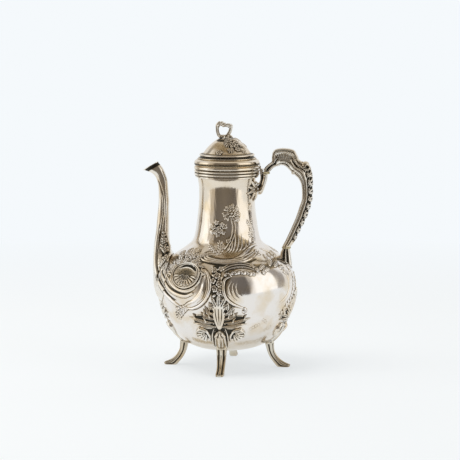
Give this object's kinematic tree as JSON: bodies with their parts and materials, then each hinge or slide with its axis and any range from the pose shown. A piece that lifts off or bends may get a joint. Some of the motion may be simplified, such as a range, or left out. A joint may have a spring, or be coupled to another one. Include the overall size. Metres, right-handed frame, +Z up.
{
  "type": "coffee pot",
  "caption": "Tall silver coffee pot with a bellied body, S-shaped spout, hinged domed lid, insulated scroll handle and scroll feet.",
  "frame": {"origin": "on the pot's axis at table level, under the middle of the bottom", "axes": "+Z up along the pot's axis, spout towards -X, handle towards +X, front foot towards -Y"},
  "size_m": [0.18, 0.1472, 0.2607],
  "materials": {
    "silver": "polished silver with a light warm tarnish",
    "old_silver": "cast and chased silver with dark tarnish in the recesses",
    "ivory": "aged ivory-coloured insulator, satin"
  },
  "bodies": {
    "pot": {"body_shell": "silver", "scrolls_front": "silver", "scrolls_back": "silver", "mouth_ring": "silver", "spout_front_half": "silver", "spout_back_half": "silver", "spout_shell_front": "old_silver", "spout_shell_back": "old_silver", "neck_leaf": "old_silver", "upper_socket": "silver", "upper_insulator": "ivory", "handle_grip": "silver", "lower_insulator": "ivory", "lower_socket": "silver", "insulator_pins": "silver", "hinge_body_leaf": "silver", "hinge_pin": "silver", "leg_front": "silver", "leg_back": "silver", "leg_spout_side": "silver", "leg_handle_side": "silver", "leaf_mount_front": "old_silver", "leaf_mount_back": "old_silver", "leaf_mount_spout_side": "old_silver", "leaf_mount_handle_side": "old_silver"},
    "lid": {"lid_rim": "silver", "lid_shell": "silver", "lid_bezel": "silver", "hinge_lid_leaf": "silver", "finial_collar": "silver", "finial": "silver", "finial_nut": "silver"}
  },
  "joints": [
    {"name": "lid_hinge", "type": "hinge", "parent": "pot", "child": "lid", "pos_m": [0.0368, 0, 0.209], "axis": [0, 1, 0], "range_deg": [0, 60]}
  ]
}
